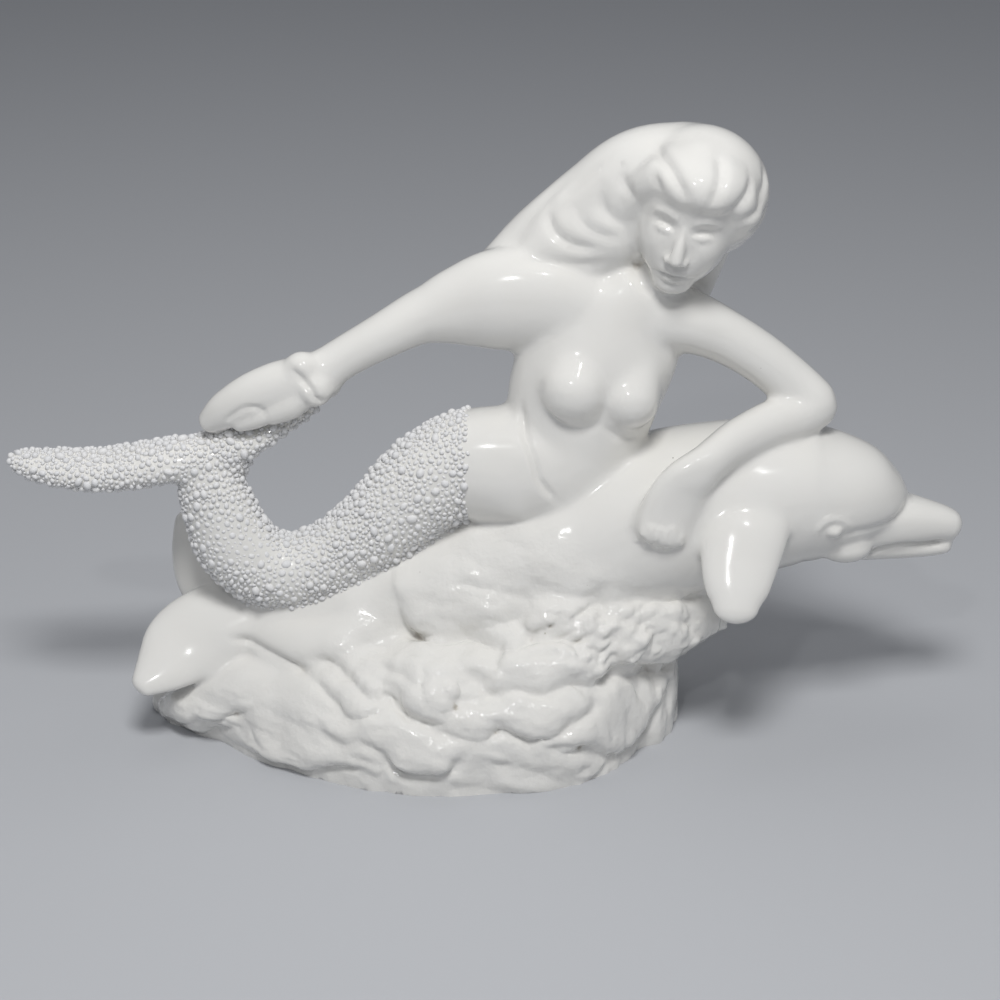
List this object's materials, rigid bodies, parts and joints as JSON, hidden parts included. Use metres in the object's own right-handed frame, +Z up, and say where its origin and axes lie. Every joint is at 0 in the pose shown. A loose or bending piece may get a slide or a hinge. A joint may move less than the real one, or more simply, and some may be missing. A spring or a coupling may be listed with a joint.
{
  "type": "mermaid figurine",
  "caption": "One-piece glazed ceramic ornament: a mermaid with a beaded tail leans on a dolphin over a wave-shaped base with a flat foot.",
  "frame": {"origin": "middle of the flat foot, on the surface the figurine stands on", "axes": "+Z up, +X from the dolphin's fluke to its beak, -Y the side the figures face"},
  "size_m": [0.3587, 0.1364, 0.2358],
  "materials": {
    "white_glaze": "clear gloss glaze over a warm white ceramic body"
  },
  "bodies": {
    "root": {"figurine": "white_glaze"}
  },
  "joints": []
}
